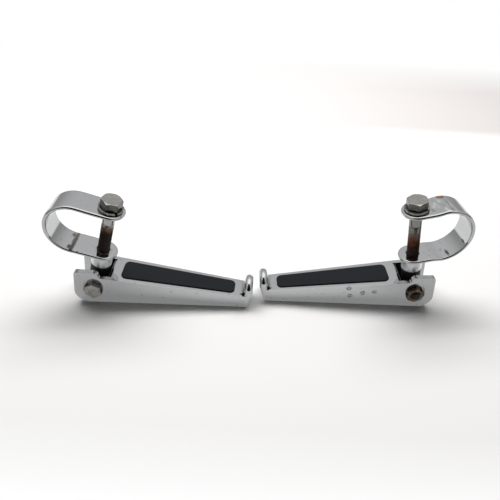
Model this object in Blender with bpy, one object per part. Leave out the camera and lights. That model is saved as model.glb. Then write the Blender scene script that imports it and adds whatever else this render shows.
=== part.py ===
"""Pair of folding highway pegs with bar clamps, in metres, +Z up.

Each peg is a cast wedge with a rubber pad on top and a clevis at its wide end.
A mount block turns in the clevis on the pivot bolt, and a strap clamp swivels
on the block around the clamp bolt. The two pegs are the same parts, laid tip to
tip, the right one turned half a turn about the vertical.

In a peg's own frame, X runs from the pivot to the tip, Y runs across, Z is up,
and the origin lies on the floor below the pivot axis.
"""

import math

import bmesh
import bpy
from mathutils import Matrix, Vector

# Clearance between pieces that touch, the distance at which two places count as the same,
# and the distance within which doubled points are merged.
SEAT_GAP = 0.0003
SAME = 0.00002
MERGED = 0.000001

# Cast peg body: outline from the side.
PIVOT_HEIGHT = 0.0133
EAR_TOP = 0.0311
EAR_BACK_TOP = -0.0131
EAR_BACK_LOW = -0.0154
EAR_CORNER_RADIUS = 0.0017
HEEL_RADIUS = 0.0110
EAR_FRONT = 0.0058
EAR_STEP_RADIUS = 0.0042
EAR_ROOT_RADIUS = 0.0010
PLATE_HEIGHT_BASE = 0.0258
PLATE_HEIGHT_TIP = 0.0113
LIP_INNER = 0.1214
LIP_OUTER = 0.1279
LIP_TOP = 0.0242
LIP_SLANT_TOP = 0.0135
LIP_FILLET = 0.0046
LIP_SIDE_PROUD = 0.0001
TIP_HEEL = 0.1242

# Cast peg body: plan, walls and edges.
WIDTH_AT_PIVOT = 0.0304
WIDTH_AT_TIP = 0.0196
EDGE_RADIUS = 0.00025
LIP_EDGE_RADIUS = 0.0029
WALL_THICKNESS = 0.0030
PLATE_THICKNESS = 0.0026
WEB_THICKNESS = 0.0035
CLEVIS_GAP = 0.0224
CLEVIS_END = 0.0108
PLATE_ROLL_RADIUS = 0.0046

# Pocket beside the pivot, drawn out toward the tip and the top.
POCKET_RADIUS = 0.0078
POCKET_SLOT_REACH = 0.0041
POCKET_ANGLE = math.radians(79.0)
POCKET_DEPTH = 0.0021

# Rubber pad, let into the top plate and held by three studs moulded on it.
PAD_START = 0.0217
PAD_END = 0.1133
PAD_WIDTH_BASE = 0.0206
PAD_WIDTH_TIP = 0.0148
PAD_CORNER_RADIUS = 0.0042
PAD_POCKET_DEPTH = 0.0020
PAD_PROUD = 0.0010
PAD_EDGE_RADIUS = 0.0006
STUD_COUNT = 3
STUD_RADIUS = 0.0022
STUD_HEAD_RADIUS = 0.0034
STUD_HEAD_HEIGHT = 0.0012
STUD_END_MARGIN = 0.0130

# Pivot bolt and nut.
PIVOT_BOLT_RADIUS = 0.00396875
PIVOT_BORE_CLEARANCE = 0.0003
PIVOT_FLATS = 0.0127
PIVOT_HEAD_HEIGHT = 0.0041
PIVOT_NUT_HEIGHT = 0.0036
PIVOT_END_PROUD = 0.0013
PIVOT_POINT_CHAMFER = 0.0010
HEX_CHAMFER = 0.0005
HEX_CROWN_INSET = 0.00015

# Thin washers between the hub and the ears.
THRUST_WASHER_RADIUS = 0.0080
THRUST_WASHER_THICKNESS = 0.0010

# Mount block: hub across the clevis, round neck and round boss.
HUB_RADIUS = 0.0083
NECK_RADIUS = 0.0076
BOSS_RADIUS = 0.0083
BOSS_BOTTOM = 0.0170
BOSS_TOP = 0.0288
BOSS_CHAMFER = 0.0007
THREAD_HOLE_END = 0.0078

# Clamp strap: flat bar bent round a tube, open because the bolt is loose.
STRAP_WIDTH = 0.0230
STRAP_THICKNESS = 0.0030
STRAP_RIM_RADIUS = 0.0013
STRAP_FLAT = 0.0130
STRAP_HOLE_CLEARANCE = 0.0006

# Clamp bolt and split lock washer.
CLAMP_BOLT_RADIUS = 0.0047625
CLAMP_BOLT_LENGTH = 0.0550
CLAMP_FLATS = 0.0146
CLAMP_HEAD_HEIGHT = 0.0062
CLAMP_POINT_CHAMFER = 0.0010
LOCK_WASHER_RADIUS = 0.0093
LOCK_WASHER_HEIGHT = 0.0022
LOCK_WASHER_SLOT = 0.0016
LOCK_WASHER_SLANT = 0.0009

# How each side lies: the lean of its mount toward the tip, the swivel of its strap,
# the strap's spread at the ears, its extra spread at the bend and its reach, the
# turns of the bolt's head and the washer's split, its place, and its turn about Z.
SIDES = {
    "left": {
        "lean": math.radians(15.6),
        "swivel": math.radians(0.0),
        "spread": 0.0373,
        "bulge": 0.0002,
        "reach": 0.0455,
        "head_turn": math.radians(14.5),
        "split_turn": math.radians(-50.0),
        "place": (-0.1302, -0.0053),
        "turn": math.radians(-1.5),
    },
    "right": {
        "lean": math.radians(9.6),
        "swivel": math.radians(5.4),
        "spread": 0.0402,
        "bulge": 0.0011,
        "reach": 0.0437,
        "head_turn": math.radians(26.4),
        "split_turn": math.radians(140.0),
        "place": (0.1302, 0.0077),
        "turn": math.radians(183.5),
    },
}

# Steps round a whole circle, a small round, a bore, the strap's bend, its ears' ends, a stud,
# a hexagon's crown, the pocket's ends and the lip's rims, then the least angle of an edge that counts as a
# rim, and the least angle between two faces that stays sharp when they are shaded.
ROUND_STEPS = 32
ARC_STEPS = 5
BORE_STEPS = 24
BEND_STEPS = 24
EAR_END_STEPS = 20
STUD_STEPS = 20
CROWN_STEPS = 36
POCKET_STEPS = 14
LIP_EDGE_STEPS = 4
RIM_ANGLE = math.radians(60.0)
SHARP_ANGLE = math.radians(35.0)


def clear_scene():
    """Remove every object, so that the script starts from nothing."""
    for item in list(bpy.data.objects):
        bpy.data.objects.remove(item, do_unlink=True)


def material(name, colour, roughness, metallic):
    """Return a Principled material with one colour."""
    mat = bpy.data.materials.new(name)
    mat.use_nodes = True
    shader = mat.node_tree.nodes["Principled BSDF"]
    shader.inputs["Base Color"].default_value = (*colour, 1.0)
    shader.inputs["Roughness"].default_value = roughness
    shader.inputs["Metallic"].default_value = metallic
    return mat


def arc(centre, radius, start, end, steps=ARC_STEPS):
    """Points on a circle from one angle in degrees to another, ends included."""
    points = []
    for step in range(steps + 1):
        angle = math.radians(start + (end - start) * step / steps)
        points.append((centre[0] + radius * math.cos(angle), centre[1] + radius * math.sin(angle)))
    return points


def circle(radius, steps=ROUND_STEPS, centre=(0.0, 0.0)):
    """Points of a full circle, each once."""
    return arc(centre, radius, 0.0, 360.0, steps)[:-1]


def hexagon(flats):
    """Corners of a hexagon from its width across flats, one corner at +Y."""
    return [
        (flats / math.sqrt(3.0) * math.cos(math.radians(30 + 60 * k)),
         flats / math.sqrt(3.0) * math.sin(math.radians(30 + 60 * k)))
        for k in range(6)
    ]


def temporary(bm, name="shape"):
    """Turn a bmesh into a linked object with outward normals."""
    bmesh.ops.recalc_face_normals(bm, faces=bm.faces)
    mesh = bpy.data.meshes.new(name)
    bm.to_mesh(mesh)
    bm.free()
    item = bpy.data.objects.new(name, mesh)
    bpy.context.scene.collection.objects.link(item)
    return item


def extruded(outline, place_low, place_high):
    """Extrude a closed outline between two functions that place its points in space."""
    bm = bmesh.new()
    low = [bm.verts.new(place_low(a, b)) for a, b in outline]
    high = [bm.verts.new(place_high(a, b)) for a, b in outline]
    bm.faces.new(low)
    bm.faces.new(reversed(high))
    count = len(outline)
    for k in range(count):
        after = (k + 1) % count
        bm.faces.new((low[k], high[k], high[after], low[after]))
    return temporary(bm)


def prism_across(outline, low, high):
    """Extrude an (x, z) outline along Y from low to high."""
    return extruded(outline, lambda a, b: (a, low, b), lambda a, b: (a, high, b))


def prism_up(outline, low, high):
    """Extrude an (x, y) outline along Z from low to high."""
    return extruded(outline, lambda a, b: (a, b, low), lambda a, b: (a, b, high))


def prism_along(outline, low, high):
    """Extrude a (y, z) outline along X from low to high."""
    return extruded(outline, lambda a, b: (low, a, b), lambda a, b: (high, a, b))


def turned(profile, steps=ROUND_STEPS):
    """Revolve a closed (radius, height) profile around Z; radius 0 lies on the axis."""
    bm = bmesh.new()
    rings = []
    for radius, height in profile:
        if radius == 0.0:
            rings.append([bm.verts.new((0.0, 0.0, height))])
        else:
            rings.append([bm.verts.new((x, y, height)) for x, y in circle(radius, steps)])
    count = len(profile)
    for k in range(count):
        lower, upper = rings[k], rings[(k + 1) % count]
        if len(lower) == 1 and len(upper) == 1:
            continue
        for step in range(steps):
            after = (step + 1) % steps
            if len(lower) == 1:
                bm.faces.new((lower[0], upper[step], upper[after]))
            elif len(upper) == 1:
                bm.faces.new((lower[step], lower[after], upper[0]))
            else:
                bm.faces.new((lower[step], lower[after], upper[after], upper[step]))
    return temporary(bm)


def carve(base, others, operation):
    """Cut, join or intersect the base with each other shape, and drop those shapes."""
    for other in others:
        step = base.modifiers.new("carve", "BOOLEAN")
        step.operation = operation
        step.solver = "EXACT"
        step.object = other
    graph = bpy.context.evaluated_depsgraph_get()
    mesh = bpy.data.meshes.new_from_object(base.evaluated_get(graph))
    for item in [base, *others]:
        bpy.data.objects.remove(item, do_unlink=True)
    result = bpy.data.objects.new("shape", mesh)
    bpy.context.scene.collection.objects.link(result)
    return result


def cut(base, *others):
    """Take the other shapes out of the base."""
    return carve(base, others, "DIFFERENCE")


def joined(base, *others):
    """Join the other shapes to the base as one solid."""
    return carve(base, others, "UNION")


def shared(base, *others):
    """Keep what the base and the other shapes have in common."""
    return carve(base, others, "INTERSECT")


def edge_round(item, radius, segments, wanted):
    """Round the edges whose two ends and faces satisfy a test."""
    bm = bmesh.new()
    bm.from_mesh(item.data)
    edges = [edge for edge in bm.edges if wanted(edge)]
    bmesh.ops.bevel(
        bm, geom=edges, offset=radius, offset_type="OFFSET", segments=segments,
        profile=0.5, affect="EDGES", clamp_overlap=True,
    )
    bm.to_mesh(item.data)
    bm.free()
    return item


def moved(item, matrix):
    """Move a shape's own points."""
    item.data.transform(matrix)
    return item


def finished(item, name):
    """Take the mesh of a finished shape, merge doubled points, name it and smooth its round faces."""
    mesh = item.data
    mesh.name = name
    bpy.data.objects.remove(item, do_unlink=True)
    bm = bmesh.new()
    bm.from_mesh(mesh)
    bmesh.ops.remove_doubles(bm, verts=bm.verts, dist=MERGED)
    bm.to_mesh(mesh)
    bm.free()
    mesh.shade_smooth()
    mesh.set_sharp_from_angle(angle=SHARP_ANGLE)
    return mesh


def half_width(x):
    """Half of the body's width, which narrows evenly from the pivot to the tip."""
    share = x / LIP_INNER
    return 0.5 * (WIDTH_AT_PIVOT + (WIDTH_AT_TIP - WIDTH_AT_PIVOT) * share)


def plate_height(x):
    """Height of the top plate, which falls evenly from the clevis to the tip."""
    share = (x - EAR_FRONT) / (LIP_INNER - EAR_FRONT)
    return PLATE_HEIGHT_BASE + (PLATE_HEIGHT_TIP - PLATE_HEIGHT_BASE) * share


def plate_slope():
    """Angle of the top plate below level."""
    return math.atan2(PLATE_HEIGHT_BASE - PLATE_HEIGHT_TIP, LIP_INNER - EAR_FRONT)


def side_outline():
    """Outline of the wedge from the side, from the heel round over the ear to the tip."""
    degrees = math.degrees(plate_slope())
    step_foot = EAR_FRONT + EAR_ROOT_RADIUS
    outline = arc((EAR_BACK_LOW + HEEL_RADIUS, HEEL_RADIUS), HEEL_RADIUS, 270.0, 180.0, 6)
    outline += arc(
        (EAR_BACK_TOP + EAR_CORNER_RADIUS, EAR_TOP - EAR_CORNER_RADIUS), EAR_CORNER_RADIUS, 175.0, 90.0, 3)
    outline += arc(
        (EAR_FRONT - EAR_STEP_RADIUS, EAR_TOP - EAR_STEP_RADIUS), EAR_STEP_RADIUS, 90.0, 0.0, 5)
    outline += arc(
        (step_foot, plate_height(step_foot) + EAR_ROOT_RADIUS), EAR_ROOT_RADIUS, 180.0, 270.0 - degrees, 3)
    top, low = wedge_end()
    outline += [(top, plate_height(top)), (low, 0.0)]
    return outline


def wedge_end():
    """Where the wedge's end face lies inside the lip, at its top and at the floor."""
    return 0.5 * (LIP_INNER + LIP_OUTER), 0.5 * (LIP_INNER + TIP_HEEL)


def outline_edge(edge):
    """Whether an edge of the wedge lies in a side face, away from the end inside the lip."""
    ends = [v.co for v in edge.verts]
    in_side = all(abs(abs(v.y) - half_width(v.x)) < SAME for v in ends)
    return in_side and ends[0].y * ends[1].y > 0.0 and min(v.x for v in ends) < wedge_end()[1] - SAME


def lip_tab():
    """End of the tip: an upright tab with a round top and rounded rims, a fillet at its foot.

    Each ring is the tab's outline from the front, drawn in toward the two faces by a quarter
    circle. Below LIP_SLANT_TOP the outer face slants in to the heel.
    """
    radius = half_width(LIP_INNER) + LIP_SIDE_PROUD
    centre = LIP_TOP - radius
    thickness = LIP_OUTER - LIP_INNER

    def outer_face(z):
        return TIP_HEEL + (LIP_OUTER - TIP_HEEL) * min(z / LIP_SLANT_TOP, 1.0)

    def ring(share, inset):
        half = radius - inset
        outline = [(half, 0.0), (half, LIP_SLANT_TOP)]
        outline += arc((0.0, centre), half, 0.0, 180.0, BEND_STEPS)
        outline += [(-half, LIP_SLANT_TOP), (-half, 0.0)]
        return [bm.verts.new((LIP_INNER + share * (outer_face(z) - LIP_INNER), y, z)) for y, z in outline]

    bm = bmesh.new()
    quarter = arc((0.0, 0.0), LIP_EDGE_RADIUS, 0.0, 90.0, LIP_EDGE_STEPS)
    depths = [((LIP_EDGE_RADIUS - x) / thickness, LIP_EDGE_RADIUS - y) for x, y in quarter]
    rings = [ring(share, inset) for share, inset in depths]
    rings += [ring(1.0 - share, inset) for share, inset in reversed(depths)]
    count = len(rings[0])
    for lower, upper in zip(rings, rings[1:]):
        for k in range(count):
            after = (k + 1) % count
            bm.faces.new((lower[k], lower[after], upper[after], upper[k]))
    last = rings[-1]
    bm.faces.new(rings[0])
    bm.faces.new(last[1:-1])
    bm.faces.new((last[0], last[1], last[-2], last[-1]))
    tab = temporary(bm)

    foot = LIP_INNER - LIP_FILLET
    low = plate_height(foot) - LIP_EDGE_RADIUS
    high = plate_height(foot) + LIP_FILLET
    inside = wedge_end()[0]
    fillet = arc((foot, high), LIP_FILLET, 270.0 - math.degrees(plate_slope()), 360.0, 6)
    fillet += [(inside, high), (inside, low), (foot, low)]
    half = radius - LIP_EDGE_RADIUS
    return joined(tab, prism_across(fillet, -half, half))


def tapered_inside():
    """Hollow under the plate: open below, a wall's thickness in from the sides."""
    start = CLEVIS_END + WEB_THICKNESS
    end = LIP_INNER - 2.0 * WALL_THICKNESS
    roof = PAD_POCKET_DEPTH + PLATE_THICKNESS
    outline = [(start, -WALL_THICKNESS), (start, plate_height(start) - roof)]
    outline += [(end, plate_height(end) - roof), (end, -WALL_THICKNESS)]

    def inner(x):
        return half_width(x) - WALL_THICKNESS

    return extruded(outline, lambda x, z: (x, -inner(x), z), lambda x, z: (x, inner(x), z))


def clevis_space():
    """Space between the ears, with the plate's end rolled over toward it."""
    roll_x = CLEVIS_END + PLATE_ROLL_RADIUS
    roll_top = plate_height(roll_x) + SAME
    outline = [(2.0 * EAR_BACK_LOW, -PIVOT_HEIGHT), (CLEVIS_END, -PIVOT_HEIGHT)]
    outline += arc((roll_x, roll_top - PLATE_ROLL_RADIUS), PLATE_ROLL_RADIUS, 180.0, 90.0, 6)
    outline += [(roll_x, 2.0 * EAR_TOP), (2.0 * EAR_BACK_LOW, 2.0 * EAR_TOP)]
    return prism_across(outline, -0.5 * CLEVIS_GAP, 0.5 * CLEVIS_GAP)


def pocket_outline():
    """Pocket beside the pivot: a short slot with round ends, up toward the tip."""
    lean = math.degrees(POCKET_ANGLE)
    ahead = (
        POCKET_SLOT_REACH * math.cos(POCKET_ANGLE),
        PIVOT_HEIGHT + POCKET_SLOT_REACH * math.sin(POCKET_ANGLE),
    )
    outline = arc(ahead, POCKET_RADIUS, lean - 90.0, lean + 90.0, POCKET_STEPS)
    outline += arc((0.0, PIVOT_HEIGHT), POCKET_RADIUS, lean + 90.0, lean + 270.0, POCKET_STEPS)
    return outline


def pocket_floor():
    """Distance of the pocket's floor from the middle of the peg."""
    return half_width(0.0) - POCKET_DEPTH


def pad_outline(inset):
    """Plan of the pad or its pocket: a tapered shape with round corners."""
    radius = PAD_CORNER_RADIUS - inset
    start, end = PAD_START + inset, PAD_END - inset
    base, tip = 0.5 * PAD_WIDTH_BASE - inset, 0.5 * PAD_WIDTH_TIP - inset
    outline = arc((end - radius, tip - radius), radius, 0.0, 90.0)
    outline += arc((start + radius, base - radius), radius, 90.0, 180.0)
    outline += arc((start + radius, radius - base), radius, 180.0, 270.0)
    outline += arc((end - radius, radius - tip), radius, 270.0, 360.0)
    return outline


def above_plate(x, y, rise):
    """Place a point of the pad's plan at a height above the sloping plate."""
    slope = plate_slope()
    return (x + rise * math.sin(slope), y, plate_height(x) + rise * math.cos(slope))


def pad_slab(inset, low, high):
    """Slab that follows the plate between two heights above it."""
    return extruded(
        pad_outline(inset),
        lambda x, y: above_plate(x, y, low),
        lambda x, y: above_plate(x, y, high),
    )


def stud_places():
    """Distances of the pad's studs from the pivot."""
    first = PAD_START + STUD_END_MARGIN
    last = PAD_END - STUD_END_MARGIN
    return [first + (last - first) * k / (STUD_COUNT - 1) for k in range(STUD_COUNT)]


def stud(x, radius, low, high):
    """Round stud square to the plate between two heights above it."""
    item = turned([(0.0, low), (radius, low), (radius, high), (0.0, high)], STUD_STEPS)
    lift = Matrix.Translation((x, 0.0, plate_height(x)))
    return moved(item, lift @ Matrix.Rotation(plate_slope(), 4, "Y"))


def peg_body_mesh():
    """Cast body: wedge with ears, joined to its lip, then hollowed and bored."""
    body = extruded(
        side_outline(),
        lambda x, z: (x, -half_width(x), z),
        lambda x, z: (x, half_width(x), z),
    )
    edge_round(body, EDGE_RADIUS, 2, outline_edge)
    body = joined(body, lip_tab())
    body = cut(body, clevis_space(), tapered_inside())
    floor = pocket_floor()
    body = cut(
        body,
        prism_across(pocket_outline(), -2.0 * floor, -floor),
        prism_across(pocket_outline(), floor, 2.0 * floor),
    )
    bore = PIVOT_BOLT_RADIUS + PIVOT_BORE_CLEARANCE
    hole = prism_across(circle(bore, BORE_STEPS, (0.0, PIVOT_HEIGHT)), -2.0 * floor, 2.0 * floor)
    body = cut(body, hole, pad_slab(0.0, -PAD_POCKET_DEPTH, 2.0 * PAD_PROUD))
    deep = -3.0 * (PAD_POCKET_DEPTH + PLATE_THICKNESS)
    holes = [stud(x, STUD_RADIUS + SEAT_GAP, deep, 0.0) for x in stud_places()]
    return finished(cut(body, *holes), "peg_body")


def rubber_pad_mesh():
    """Rubber pad with three studs whose heads grip under the plate."""
    slab = pad_slab(SEAT_GAP, SEAT_GAP - PAD_POCKET_DEPTH, PAD_PROUD)

    def top_edge(edge):
        return all(v.co.z - plate_height(v.co.x) > 0.5 * PAD_PROUD for v in edge.verts)

    edge_round(slab, PAD_EDGE_RADIUS, 2, top_edge)
    under = -(PAD_POCKET_DEPTH + PLATE_THICKNESS) - SEAT_GAP
    pieces = []
    for x in stud_places():
        pieces.append(stud(x, STUD_RADIUS, under - 0.5 * STUD_HEAD_HEIGHT, -0.5 * PAD_POCKET_DEPTH))
        pieces.append(stud(x, STUD_HEAD_RADIUS, under - STUD_HEAD_HEIGHT, under))
    return finished(joined(slab, *pieces), "rubber_pad")


def hex_solid(flats, height, chamfered_low, chamfered_high):
    """Hexagon of a bolt head or nut, its corners chamfered by a turned cone."""
    corner = flats / math.sqrt(3.0)
    blank = prism_up(hexagon(flats), 0.0, height)
    drop = (corner - 0.5 * flats) * math.tan(math.radians(30.0)) + HEX_CROWN_INSET
    low = drop if chamfered_low else -drop
    high = height - drop if chamfered_high else height + drop
    inner = 0.5 * flats - HEX_CROWN_INSET
    outer = corner + HEX_CHAMFER
    profile = [(0.0, -height), (outer, -height), (outer, low), (outer, high)]
    if chamfered_low:
        profile[:2] = [(0.0, 0.0), (inner, 0.0)]
    if chamfered_high:
        profile += [(inner, height), (0.0, height)]
    else:
        profile += [(outer, 2.0 * height), (0.0, 2.0 * height)]
    return shared(blank, turned(profile, CROWN_STEPS))


def across_peg(distance):
    """Matrix that turns a shape made along Z to run along Y from the given distance."""
    return Matrix.Translation((0.0, distance, PIVOT_HEIGHT)) @ Matrix.Rotation(math.radians(-90.0), 4, "X")


def pivot_bolt_mesh():
    """Pivot bolt: hexagon head on one ear, point past the nut on the other."""
    seat = pocket_floor() + SEAT_GAP
    nut_end = seat + PIVOT_NUT_HEIGHT
    length = seat + nut_end + PIVOT_END_PROUD
    tip = PIVOT_BOLT_RADIUS - PIVOT_POINT_CHAMFER
    shank = turned([
        (0.0, -0.5 * PIVOT_HEAD_HEIGHT), (PIVOT_BOLT_RADIUS, -0.5 * PIVOT_HEAD_HEIGHT),
        (PIVOT_BOLT_RADIUS, length - PIVOT_POINT_CHAMFER), (tip, length), (0.0, length),
    ])
    head = moved(hex_solid(PIVOT_FLATS, PIVOT_HEAD_HEIGHT, True, False),
                 Matrix.Translation((0.0, 0.0, -PIVOT_HEAD_HEIGHT)))
    bolt = joined(head, shank)
    return finished(moved(bolt, across_peg(-seat)), "pivot_bolt")


def pivot_nut_mesh():
    """Hexagon nut on the pivot bolt, chamfered on both faces."""
    nut = hex_solid(PIVOT_FLATS, PIVOT_NUT_HEIGHT, True, True)
    hole = PIVOT_BOLT_RADIUS + SEAT_GAP
    nut = cut(nut, prism_up(circle(hole, BORE_STEPS), -PIVOT_NUT_HEIGHT, 2.0 * PIVOT_NUT_HEIGHT))
    return finished(moved(nut, across_peg(pocket_floor() + SEAT_GAP)), "pivot_nut")


def ring(outer, inner, low, high):
    """Flat ring around Z."""
    return turned([(inner, low), (outer, low), (outer, high), (inner, high)])


def thrust_washer_mesh(side):
    """Thin washer between the hub and one ear, side -1 at the bolt's head."""
    inner = PIVOT_BOLT_RADIUS + PIVOT_BORE_CLEARANCE
    washer = ring(THRUST_WASHER_RADIUS, inner, 0.0, THRUST_WASHER_THICKNESS)
    near_face = 0.5 * CLEVIS_GAP - SEAT_GAP
    start = -near_face if side < 0 else near_face - THRUST_WASHER_THICKNESS
    return finished(moved(washer, across_peg(start)), "thrust_washer")


def mount_block_mesh():
    """Mount block with its pivot at the origin: hub, neck and tapped boss."""
    hub_half = 0.5 * CLEVIS_GAP - THRUST_WASHER_THICKNESS - 2.0 * SEAT_GAP
    hub = prism_across(circle(HUB_RADIUS), -hub_half, hub_half)
    neck = prism_up(circle(NECK_RADIUS), 0.0, BOSS_BOTTOM + BOSS_CHAMFER)
    inner = BOSS_RADIUS - BOSS_CHAMFER
    boss = turned([
        (0.0, BOSS_BOTTOM), (inner, BOSS_BOTTOM), (BOSS_RADIUS, BOSS_BOTTOM + BOSS_CHAMFER),
        (BOSS_RADIUS, BOSS_TOP - BOSS_CHAMFER), (inner, BOSS_TOP), (0.0, BOSS_TOP),
    ])
    block = joined(hub, neck, boss)
    bore = PIVOT_BOLT_RADIUS + PIVOT_BORE_CLEARANCE
    pivot_hole = prism_across(circle(bore, BORE_STEPS), -CLEVIS_GAP, CLEVIS_GAP)
    thread = CLAMP_BOLT_RADIUS + SEAT_GAP
    thread_hole = prism_up(circle(thread, BORE_STEPS), THREAD_HOLE_END, 2.0 * BOSS_TOP)
    return finished(cut(block, pivot_hole, thread_hole), "mount_block")


def strap_floor():
    """Height of the strap's lower ear above the pivot."""
    return BOSS_TOP + SEAT_GAP


def strap_mesh(spread, bulge, reach, name):
    """Strap: two level ears and two legs that run into one round bend."""
    outer = 0.5 * spread + STRAP_THICKNESS + bulge
    inner = 0.5 * spread + bulge
    bend = outer - reach
    middle = strap_floor() + 0.5 * spread + STRAP_THICKNESS
    end = STRAP_WIDTH
    outline = []
    for radius, start, stop in ((outer, 270.0, 90.0), (inner, 90.0, 270.0)):
        side = -1.0 if start > stop else 1.0
        flat = radius - bulge
        outline += [(end, middle + side * flat), (-STRAP_FLAT, middle + side * flat)]
        outline += arc((bend, middle), radius, start, stop, BEND_STEPS)
        outline += [(-STRAP_FLAT, middle - side * flat), (end, middle - side * flat)]
    half = 0.5 * STRAP_WIDTH
    strap = prism_across(outline, -half, half)
    wide = half + SAME
    plan = [(-2.0 * reach, wide), (-2.0 * reach, -wide), (-SAME, -wide)]
    plan += arc((0.0, 0.0), half, -90.0, 90.0, EAR_END_STEPS) + [(-SAME, wide)]
    strap = shared(strap, prism_up(plan, 0.0, 2.0 * (middle + outer)))
    edge_round(strap, STRAP_RIM_RADIUS, 2, lambda edge: edge.calc_face_angle() > RIM_ANGLE)
    hole = CLAMP_BOLT_RADIUS + STRAP_HOLE_CLEARANCE
    strap = cut(strap, prism_up(circle(hole, BORE_STEPS), 0.0, 2.0 * (middle + outer)))
    return finished(strap, name)


def clamp_bolt_seat(spread):
    """Height above the pivot of the underside of the clamp bolt's head."""
    ear_top = strap_floor() + spread + 2.0 * STRAP_THICKNESS
    return ear_top + SEAT_GAP + LOCK_WASHER_HEIGHT + SEAT_GAP


def clamp_bolt_mesh(spread, turn, name):
    """Clamp bolt: hexagon head above the washer, plain point in the tapped boss."""
    seat = clamp_bolt_seat(spread)
    end = seat - CLAMP_BOLT_LENGTH
    tip = CLAMP_BOLT_RADIUS - CLAMP_POINT_CHAMFER
    shank = turned([
        (0.0, end), (tip, end), (CLAMP_BOLT_RADIUS, end + CLAMP_POINT_CHAMFER),
        (CLAMP_BOLT_RADIUS, seat + 0.5 * CLAMP_HEAD_HEIGHT), (0.0, seat + 0.5 * CLAMP_HEAD_HEIGHT),
    ])
    head = hex_solid(CLAMP_FLATS, CLAMP_HEAD_HEIGHT, False, True)
    head = moved(head, Matrix.Translation((0.0, 0.0, seat)) @ Matrix.Rotation(turn, 4, "Z"))
    return finished(joined(head, shank), name)


def lock_washer_mesh(spread, turn, name):
    """Split lock washer: one coil of square wire whose ends stand slightly apart."""
    base = strap_floor() + spread + 2.0 * STRAP_THICKNESS + SEAT_GAP
    inner = CLAMP_BOLT_RADIUS + SEAT_GAP
    washer = ring(LOCK_WASHER_RADIUS, inner, base, base + LOCK_WASHER_HEIGHT)
    half = 0.5 * LOCK_WASHER_SLOT
    low, high = base - LOCK_WASHER_HEIGHT, base + 2.0 * LOCK_WASHER_HEIGHT
    near, far = half - LOCK_WASHER_SLANT, half + LOCK_WASHER_SLANT
    slot = [(-far, low), (near, low), (far, high), (-near, high)]
    washer = cut(washer, prism_along(slot, 0.5 * inner, 2.0 * LOCK_WASHER_RADIUS))
    return finished(moved(washer, Matrix.Rotation(turn, 4, "Z")), name)


def empty(name, parent, location, rotation):
    """Empty that carries pieces and marks a joint or a place."""
    item = bpy.data.objects.new(name, None)
    bpy.context.scene.collection.objects.link(item)
    item.parent = parent
    item.location = location
    item.rotation_euler = rotation
    return item


def piece(name, mesh, mat, parent, location=(0.0, 0.0, 0.0)):
    """Named sub-part that shares or owns a mesh."""
    item = bpy.data.objects.new(name, mesh)
    bpy.context.scene.collection.objects.link(item)
    if not mesh.materials:
        mesh.materials.append(mat)
    item.parent = parent
    item.location = location
    return item


def build_side(side, lay, meshes, mats):
    """Place one peg with its mount and clamp."""
    place = empty(side + "_place", None, (*lay["place"], 0.0), (0.0, 0.0, lay["turn"]))
    piece(side + "_peg_body", meshes["body"], mats["chrome"], place)
    piece(side + "_rubber_pad", meshes["pad"], mats["rubber"], place)
    piece(side + "_pivot_bolt", meshes["pivot_bolt"], mats["steel"], place)
    piece(side + "_pivot_nut", meshes["pivot_nut"], mats["steel"], place)
    piece(side + "_head_side_washer", meshes["head_side_washer"], mats["steel"], place)
    piece(side + "_nut_side_washer", meshes["nut_side_washer"], mats["steel"], place)
    pivot = empty(side + "_pivot", place, (0.0, 0.0, PIVOT_HEIGHT), (0.0, lay["lean"], 0.0))
    piece(side + "_mount_block", meshes["block"], mats["chrome"], pivot)
    spread = lay["spread"]
    bolt = clamp_bolt_mesh(spread, lay["head_turn"], side + "_clamp_bolt")
    piece(side + "_clamp_bolt", bolt, mats["steel"], pivot)
    washer = lock_washer_mesh(spread, lay["split_turn"], side + "_lock_washer")
    piece(side + "_lock_washer", washer, mats["steel"], pivot)
    swivel = empty(side + "_swivel", pivot, (0.0, 0.0, 0.0), (0.0, 0.0, lay["swivel"]))
    strap = strap_mesh(spread, lay["bulge"], lay["reach"], side + "_clamp_strap")
    piece(side + "_clamp_strap", strap, mats["chrome"], swivel)
    return place


def centre_on_origin(places):
    """Shift the two places so that the whole pair is centred in X and Y."""
    bpy.context.view_layer.update()
    corners = [
        item.matrix_world @ vert.co
        for item in bpy.data.objects if item.type == "MESH" for vert in item.data.vertices
    ]
    for axis in (0, 1):
        values = [corner[axis] for corner in corners]
        for place in places:
            place.location[axis] -= 0.5 * (min(values) + max(values))


def main():
    """Build both pegs."""
    clear_scene()
    mats = {
        "chrome": material("chrome plate", (0.72, 0.73, 0.74), 0.12, 1.0),
        "rubber": material("black rubber", (0.022, 0.023, 0.026), 0.62, 0.0),
        "steel": material("weathered steel", (0.34, 0.33, 0.31), 0.42, 1.0),
    }
    meshes = {
        "body": peg_body_mesh(),
        "pad": rubber_pad_mesh(),
        "pivot_bolt": pivot_bolt_mesh(),
        "pivot_nut": pivot_nut_mesh(),
        "head_side_washer": thrust_washer_mesh(-1),
        "nut_side_washer": thrust_washer_mesh(1),
        "block": mount_block_mesh(),
    }
    places = [build_side(side, lay, meshes, mats) for side, lay in SIDES.items()]
    centre_on_origin(places)


main()
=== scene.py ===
"""Looks for a pair of folding highway pegs: plated bodies, clamp straps, bolts and rubber pads.

Each visible piece stands for one CAD node. The straps, clamp bolts and split washers are grid
surfaces. All other pieces are copies of the CAD's own meshes with softened edges.
"""
import math

import bmesh
import bpy
import numpy as np
from mathutils import Matrix


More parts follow.
